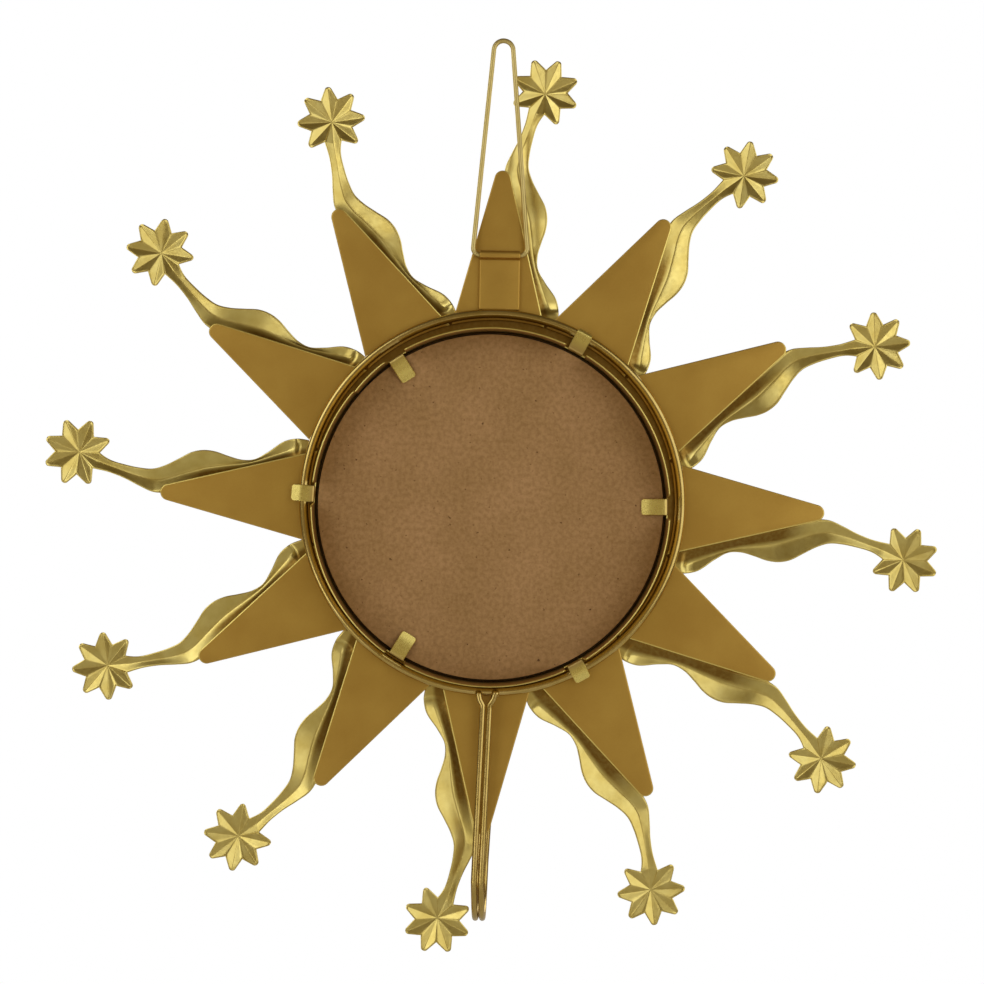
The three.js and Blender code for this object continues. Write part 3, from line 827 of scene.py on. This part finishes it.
HOOK_WIRE = 3.5
HOOK_HALF_SPACING = HOOK_WIRE / 2 + 0.2
HOOK_NEAR_Y = RING_Y + RING_WIRE / 2 + GAP + HOOK_WIRE / 2
HOOK_BEND = 26
HOOK_BEND_START = -210.5
HOOK_TIP = -150
HOOK_NEAR_TOP = (1.5, -112.5)
HOOK_NEAR_FOOT_X = 4.6
HOOK_FAR_FOOT_X = 2.2
HOOK_FAR_TOP_X = -0.9
HOOK_WELDS = {1: (5.7, -106.7), -1: (-3.6, -106.0)}
HOOK_FLARE = 0.5
HOOK_STEP = 2.5
# A bead of weld: its half sizes, and how far in front of and below the wire's end it sits
WELD_SIZES = (2.3, 2.0, 2.4)
WELD_FORWARD = 0.9
WELD_DROP = 0.3


def build_ring(material):
    path = [(SUN[0] + RING_RADIUS * math.cos(a), RING_Y, SUN[1] + RING_RADIUS * math.sin(a))
            for a in full_turn(ROUND_STEPS)]
    points, faces = tube(path, RING_WIRE / 2, RING_SIDES, closed=True)
    make_piece("wire_ring_round", points, faces, material, ["wire_ring"])


def build_loop(material):
    side = LOOP_HALF_WIDTH - LOOP_CORNER
    low = BAR_Z + LOOP_CORNER
    top = (0, LOOP_TOP_Z - LOOP_TOP_RADIUS)
    route = [(LOOP_BUTT / 2, 0, BAR_Z)]
    route += arc((side, low), LOOP_CORNER, -90, LOOP_LEAN_LOW, 14)
    route += arc(top, LOOP_TOP_RADIUS, LOOP_LEAN_TOP, 180 - LOOP_LEAN_TOP, 32)
    route += arc((-side, low), LOOP_CORNER, 180 - LOOP_LEAN_LOW, 270, 14)
    route += [(-LOOP_BUTT / 2, 0, BAR_Z)]
    points, faces = tube(resample(route, LOOP_STEP), LOOP_WIRE / 2, WIRE_SIDES)
    make_piece("hanging_loop_wire", points, faces, material, ["hanging_loop"],
               body=LOOP_BODY)


def weld_bead(centre, rings=12, sides=20):
    """A small rounded bead of weld, a little uneven."""
    x, y, z = centre
    wide, thick, tall = WELD_SIZES
    rows = []
    for polar in [math.pi * i / rings for i in range(1, rings)]:
        row = []
        for turn in full_turn(sides):
            swell = 1 + 0.05 * math.sin(3 * turn + 2 * polar) + 0.04 * math.cos(2 * turn - 3 * polar)
            row.append((x + swell * wide * math.sin(polar) * math.cos(turn),
                        y + swell * thick * math.sin(polar) * math.sin(turn),
                        z + swell * tall * math.cos(polar)))
        rows.append(row)
    points, faces = loft(rows, False)
    # The flat caps of the loft give way to fans round the two poles
    top = len(points)
    fans = []
    for k in range(sides):
        n = (k + 1) % sides
        fans += [(top, n, k), (top + 1, top - sides + k, top - sides + n)]
    return points + [(x, y, z + tall), (x, y, z - tall)], faces[:-2] + fans


def hook_leg(side):
    """One of the doubled wires, from its weld down the back and round the bend to the front."""
    shift = side * HOOK_HALF_SPACING
    weld_x, weld_z = HOOK_WELDS[side]
    top_x = HOOK_NEAR_TOP[0] + shift
    top_z = HOOK_NEAR_TOP[1]
    flare = ((weld_x + top_x) / 2 + side * HOOK_FLARE, HOOK_NEAR_Y, (weld_z + top_z) / 2)
    route = [(weld_x, HOOK_NEAR_Y, weld_z), flare, (top_x, HOOK_NEAR_Y, top_z)]
    for t in np.linspace(0, 1, 33):
        angle = math.pi * t
        route.append(((1 - t) * HOOK_NEAR_FOOT_X + t * HOOK_FAR_FOOT_X + shift,
                      HOOK_NEAR_Y - HOOK_BEND * (1 - math.cos(angle)),
                      HOOK_BEND_START - HOOK_BEND * math.sin(angle)))
    return route


def build_hook(material):
    far_y = HOOK_NEAR_Y - 2 * HOOK_BEND
    turn = [(x, far_y, z) for x, _, z in arc((HOOK_FAR_TOP_X, HOOK_TIP), HOOK_HALF_SPACING, 0, 180, 16)]
    route = resample(hook_leg(1) + turn + hook_leg(-1)[::-1], HOOK_STEP) + np.array([SUN[0], 0, SUN[1]])
    shell = Shell()
    shell.take(*tube(route, HOOK_WIRE / 2, WIRE_SIDES))
    for x, z in HOOK_WELDS.values():
        shell.take(*weld_bead((SUN[0] + x, HOOK_NEAR_Y - WELD_FORWARD, SUN[1] + z - WELD_DROP)))
    make_piece("hook_arm_wires", shell.points, shell.faces, material, ["hook_arm"])


# Strap: sheet folded round the bar of the loop, with both leaves flat on the top ray. Its foot
# stands clear of the wire ring, and the barrel meets the outer leaf in a soft knee.
STRAP_CLEAR = 0.1
STRAP_TURN_IN = math.radians(-34)
STRAP_PINCH = 0.75
STRAP_KNEE_START = 0.7
STRAP_KNEE_LIFT = 0.15
# The foot's outer corner: in from the outer leaf, up from the foot
STRAP_FOOT = [(0.5, 0), (0.15, 0.15), (0, 0.5)]
STRAP_LEAF_FOOT = 1
STRAP_LEAF_TOP = 1.2
# Each step of the strap's cut sides: inset of the section, then how far in from the side
STRAP_EDGE = [(0.4, 0), (0.24, 0.1), (0.02, 0.58), (0, 0.68)]


def strap_section():
    """Outline of the folded strap in the YZ plane: the leaves, the knee and the barrel."""
    outer = STRAP_BORE + STRAP_SHEET
    ring_edge = RING_RADIUS + RING_WIRE / 2 + GAP
    foot = SUN[1] + math.sqrt(ring_edge**2 - STRAP_HALF_WIDTH**2) + STRAP_CLEAR
    leaves = -outer + 2 * STRAP_SHEET
    meet = np.array([outer * math.cos(STRAP_TURN_IN), BAR_Z + outer * math.sin(STRAP_TURN_IN)])
    pinch = np.array([leaves, meet[1] - STRAP_PINCH])
    start = pinch - np.array([0.0, STRAP_KNEE_START])
    knee = pinch + np.array([0.0, STRAP_KNEE_LIFT])
    outline = [(-outer, foot)] + [(leaves - inset, foot + rise) for inset, rise in STRAP_FOOT]
    outline += [(leaves, z) for z in np.linspace(foot + STRAP_LEAF_FOOT, pinch[1] - STRAP_LEAF_TOP, 12)]
    for t in np.linspace(0, 1, 6)[:-1]:
        outline.append(tuple((1 - t)**2 * start + 2 * t * (1 - t) * knee + t * t * meet))
    for a in np.linspace(STRAP_TURN_IN, math.pi, 30):
        outline.append((outer * math.cos(a), BAR_Z + outer * math.sin(a)))
    return np.array(outline)


def build_strap(material):
    outline = strap_section()
    along = np.roll(outline, -1, 0) - np.roll(outline, 1, 0)
    along /= np.linalg.norm(along, axis=1)[:, None]
    inward = np.column_stack([-along[:, 1], along[:, 0]])
    # A point on the barrel tells which side of the outline is the inside
    barrel = -8
    inward *= np.sign(np.dot(inward[barrel], np.array([0, BAR_Z]) - outline[barrel]))
    steps = [(inset, way_in - STRAP_HALF_WIDTH) for inset, way_in in STRAP_EDGE]
    steps += [(inset, -x) for inset, x in steps[::-1]]
    rings = [[(x, y, z) for y, z in outline + inset * inward] for inset, x in steps]
    points, faces = loft(rings, False)
    make_piece("loop_strap_fold", points, faces, material, ["loop_strap"], sharp=35)


# Cup: bezel turned in one, a strip wall with slots, and tabs bent out of the slots.
# The bezel's section: its back corner, where the flat flange ends in from its edge, how far out
# of the middle its crown is, how deep its outer roll is, and where the lip's roll ends in front
# of the lip's back.
BEZEL_CORNER = 0.9
BEZEL_FLANGE_EDGE = 1.0
BEZEL_CROWN = 1.5
BEZEL_ROLL = 3.6
LIP_EDGE = 0.4
LIP_BACK_Y = BOARD_BACK_Y - 2 * PLATE - 2 * GAP

# The wall laps into the flange, and its back edge and the corners of its slots are round
WALL_MIDDLE = CUP_OUTER - CUP_SHEET / 2
WALL_LAP = 0.5
WALL_CORNER = 1.6
WALL_STEP = 2
# The wall's rounded back edge takes this much painted highlight
WALL_HIGHLIGHT = 0.8
# Lapped seam of the strip: where it is, its step inwards, and the angle over which that fades
SEAM_ANGLE = math.radians(309.5)
SEAM_STEP = 0.75
SEAM_FADE = math.radians(12)
SEAM_OPEN = 0.1

# Tabs: clock angles seen from behind, and how far out or in they reach
OUT_TABS = [(27.6, 111), (150.7, 109.3), (273.3, 111)]
IN_TABS = [89, 211.3, 326.6]
IN_TAB_REACH = 84.3
TAB_WIDTH = 9.2
TAB_CORNER = 1.3
TAB_EASE = 0.3
TAB_ROOT = 1
OUT_TAB_FOLD = 1.3
IN_TAB_FOLD = 3.0
# An outward tab: a knee out from the wall, short of its level over the wire, then flat from
# inside to outside the wire's middle, and down at its end
OUT_TAB_KNEE = (0.3, 0.6)
OUT_TAB_FLAT = (1.6, 1.4)
OUT_TAB_DROP = 1.3
# An inward tab: bends, in from the wall and above the board, then a crown, out from its end
IN_TAB_BENDS = [(0.1, 2.6), (3.5, 2.7)]
IN_TAB_CROWN = (4.5, 1.6)
# A painted highlight makes a tab paler from this far along it, coming in over this length
TAB_HIGHLIGHT_FROM = 3.0
TAB_HIGHLIGHT_OVER = 2.5
# Keeps a tab's last section from closing up where its corners are round
TAB_END = 0.02


def cup_point(radius, y, angle):
    return (CUP_CENTRE[0] - radius * math.sin(angle), y, CUP_CENTRE[1] + radius * math.cos(angle))


def bezel_form():
    """The turned bezel: flange, back corner, outer roll, crown and the lip over the glass. Painted
    shade lies on its inner face and on its flat flange."""
    inner = CUP_OUTER - CUP_SHEET
    outline = [(inner, LIP_BACK_Y), (inner, FLANGE_BACK_Y)]
    outline.append((BEZEL_OUTER - BEZEL_FLANGE_EDGE, FLANGE_BACK_Y))
    inside = len(outline)
    for a in np.linspace(0, math.pi / 2, 6):
        outline.append((BEZEL_OUTER - BEZEL_CORNER + BEZEL_CORNER * math.sin(a),
                        FLANGE_BACK_Y - BEZEL_CORNER + BEZEL_CORNER * math.cos(a)))
    crown = (BEZEL_OUTER + LIP_RADIUS) / 2 + BEZEL_CROWN
    quarter = np.linspace(0, math.pi / 2, 14)[1:]
    for a in quarter:
        outline.append((crown + (BEZEL_OUTER - crown) * math.cos(a),
                        BEZEL_FRONT_Y + BEZEL_ROLL - BEZEL_ROLL * math.sin(a)))
    for a in quarter:
        outline.append((crown - (crown - LIP_RADIUS) * math.sin(a),
                        BEZEL_FRONT_Y + (LIP_BACK_Y - LIP_EDGE - BEZEL_FRONT_Y) * (1 - math.cos(a))))
    outline.append((LIP_RADIUS, LIP_BACK_Y))
    rings = [[cup_point(r, y, a) for r, y in outline] for a in full_turn(BEZEL_STEPS)]
    shade_mark = [1.0] * inside + [0.0] * (len(outline) - inside)
    return *loft(rings, True), None, shade_mark * len(rings)


def wall_columns():
    """Angles round the wall with the height of its back edge, dipping at each slot."""
    half = SLOT_WIDTH / 2 / CUP_OUTER
    slots = sorted(math.radians(a) for a in [t[0] for t in OUT_TABS] + IN_TABS)
    turns = [math.radians(d) for d in (0, 15, 30, 50, 70, 90)]
    rise = [(WALL_CORNER * (1 - math.cos(d)), CUP_BACK_Y - WALL_CORNER * (1 - math.sin(d))) for d in turns]
    columns = []
    for i, slot in enumerate(slots):
        columns += [(a, SLOT_FLOOR_Y) for a in np.linspace(slot - half, slot + half, 9)]
        start = slot + half
        end = slots[(i + 1) % len(slots)] - half + (2 * math.pi if i + 1 == len(slots) else 0)
        columns += [(start + along / CUP_OUTER, y) for along, y in rise]
        columns += [(a, CUP_BACK_Y) for a in np.arange(start, end, WALL_STEP / CUP_OUTER)
                    if WALL_CORNER < (a - start) * CUP_OUTER and WALL_CORNER < (end - a) * CUP_OUTER]
        columns += [(end - along / CUP_OUTER, y) for along, y in rise[::-1]]
    return columns


def seamed_columns():
    """The wall's columns with their shift inwards, and the rounded corner of the lapped end."""
    columns = []
    for angle, top in wall_columns():
        past = angle - SEAM_ANGLE
        if abs(past) * CUP_OUTER >= WALL_CORNER:
            shift = -SEAM_STEP * max(0.0, 1 - past / SEAM_FADE) if past > 0 else 0.0
            columns.append((angle, top, shift))
    for turn in [math.radians(d) for d in (0, 30, 60, 90)]:
        along = WALL_CORNER * math.sin(turn) / CUP_OUTER
        drop = WALL_CORNER * (1 - math.cos(turn))
        columns.append((SEAM_ANGLE - WALL_CORNER / CUP_OUTER + along, CUP_BACK_Y - drop, 0.0))
    columns.append((SEAM_ANGLE + SEAM_OPEN / CUP_OUTER, CUP_BACK_Y, -SEAM_STEP))
    return sorted(columns)


def wall_form():
    """The strip wall, with a painted highlight on its rounded back edge."""
    half = CUP_SHEET / 2
    rings = []
    for angle, top, shift in seamed_columns():
        face = WALL_MIDDLE + shift
        levels = (FLANGE_BACK_Y - WALL_LAP, top - half - 1, top - half)
        section = [(face + half, y) for y in levels]
        section += [(face + half * math.cos(a), top - half + half * math.sin(a))
                    for a in np.linspace(0, math.pi, 9)[1:-1]]
        section += [(face - half, y) for y in levels[::-1]]
        rings.append([cup_point(r, y, angle) for r, y in section])
    painted_highlight = [0.0] * 2 + [WALL_HIGHLIGHT] * 9 + [0.0] * 2
    return *loft(rings, True), painted_highlight * len(rings)


def bend(route, fold, most=0.45, steps=6):
    """The route with its corners rounded, by the fold or at most that share of a stretch."""
    route = [np.array(p, float) for p in route]
    result = [route[0]]
    for before, here, after in zip(route, route[1:], route[2:]):
        back = np.linalg.norm(before - here)
        on = np.linalg.norm(after - here)
        reach = min(fold, most * back, most * on)
        first = here + (before - here) / back * reach
        last = here + (after - here) / on * reach
        for t in np.linspace(0, 1, steps + 1):
            result.append((1 - t)**2 * first + 2 * t * (1 - t) * here + t * t * last)
    return np.array(result + [route[-1]])


def tab_form(route, angle_deg, fold):
    """A strip of the wall's sheet along the route, with rounded corners at its free end."""
    path = bend(route, fold)
    lengths = np.concatenate([[0], np.cumsum(np.linalg.norm(np.diff(path, axis=0), axis=1))])
    total = lengths[-1]
    corner_marks = total - TAB_CORNER * (1 - np.sin(np.radians([0, 20, 40, 60, 80, 90])))
    marks = np.unique(np.concatenate([lengths, corner_marks]))
    r = np.interp(marks, lengths, path[:, 0])
    y = np.interp(marks, lengths, path[:, 1])
    tangent = np.gradient(np.column_stack([r, y]), axis=0)
    tangent /= np.linalg.norm(tangent, axis=1)[:, None]
    normal = np.column_stack([-tangent[:, 1], tangent[:, 0]])
    angle = math.radians(angle_deg)
    half = CUP_SHEET / 2
    rings = []
    for i, mark in enumerate(marks):
        left = max(0.0, mark - (total - TAB_CORNER))
        wide = TAB_WIDTH / 2 - TAB_CORNER + math.sqrt(max(TAB_CORNER**2 - left**2, TAB_END))
        flat = wide - TAB_EASE
        edge = half - TAB_EASE
        ring = []
        for w, h in ((-flat, half), (flat, half), (wide, edge), (wide, -edge),
                     (flat, -half), (-flat, -half), (-wide, -edge), (-wide, edge)):
            x, back, z = cup_point(r[i] + normal[i, 0] * h, y[i] + normal[i, 1] * h, angle)
            ring.append((x + w * math.cos(angle), back, z + w * math.sin(angle)))
        rings.append(ring)
    # Painted highlight along the tab, past its root
    painted_highlight = np.repeat(np.clip((marks - TAB_HIGHLIGHT_FROM) / TAB_HIGHLIGHT_OVER, 0, 1), len(rings[0]))
    return *loft(rings, False), painted_highlight.tolist()


def out_tab(angle_deg, reach):
    """From the slot's floor over the wire ring and down past it."""
    angle = math.radians(angle_deg)
    ring_at = ((SUN[0] - CUP_CENTRE[0]) * -math.sin(angle) + (SUN[1] - CUP_CENTRE[1]) * math.cos(angle)
               + RING_RADIUS)
    over = RING_Y + RING_WIRE / 2 + GAP + CUP_SHEET / 2
    knee = (WALL_MIDDLE + OUT_TAB_KNEE[0], over - OUT_TAB_KNEE[1])
    route = [(WALL_MIDDLE, SLOT_FLOOR_Y - TAB_ROOT), knee, (ring_at - OUT_TAB_FLAT[0], over),
             (ring_at + OUT_TAB_FLAT[1], over), (reach, over - OUT_TAB_DROP)]
    return tab_form(route, angle_deg, OUT_TAB_FOLD)


def in_tab(angle_deg):
    """From the slot's floor in over the board, down to its back."""
    level = BOARD_BACK_Y + GAP + CUP_SHEET / 2
    route = [(WALL_MIDDLE, SLOT_FLOOR_Y - TAB_ROOT)]
    route += [(WALL_MIDDLE - way_in, level + above) for way_in, above in IN_TAB_BENDS]
    route += [(IN_TAB_REACH + IN_TAB_CROWN[0], level + IN_TAB_CROWN[1]), (IN_TAB_REACH, level)]
    return tab_form(route, angle_deg, IN_TAB_FOLD)


def build_cup(material):
    shell = Shell()
    shell.take(*bezel_form())
    shell.take(*wall_form())
    for angle, reach in OUT_TABS:
        shell.take(*out_tab(angle, reach))
    for angle in IN_TABS:
        shell.take(*in_tab(angle))
    make_piece("mirror_rim_strip", shell.points, shell.faces, material, ["mirror_rim"],
               coat=shell.coat)


# Board and glass: discs with eased edges, the middle step of the ease at this share of it
BOARD_EASE = 0.35
GLASS_EASE = 0.25
EASE_SHARE = 0.3


def build_disc(name, node, radius, back_y, ease, material):
    part = EASE_SHARE * ease
    steps = [(ease, 0), (part, -part), (0, -ease), (0, ease - PLATE), (part, part - PLATE), (ease, -PLATE)]
    rings = [[cup_point(radius - inset, back_y + y, a) for a in full_turn(ROUND_STEPS)]
             for inset, y in steps]
    points, faces = loft(rings, False)
    make_piece(name, points, faces, material, [node])


bpy.context.scene.view_settings.view_transform = "Standard"
place_camera()
light_surround()
place_boxes()
lay_floor()
sheet_gold = lacquered_sheet()
pressed_gold = pressed_sheet()
wire_gold = lacquered_wire()
strip_gold = rolled_strip()
build_wavy_rays(pressed_gold)
build_flat_rays(sheet_gold)
build_ring(wire_gold)
build_loop(satin_wire())
build_hook(wire_gold)
build_strap(sheet_gold)
build_cup(strip_gold)
build_disc("backing_board_disc", "backing_board", BOARD_RADIUS, BOARD_BACK_Y, BOARD_EASE,
           hardboard())
build_disc("mirror_glass_disc", "mirror_glass", GLASS_RADIUS, GLASS_BACK_Y, GLASS_EASE,
           silvered_glass())
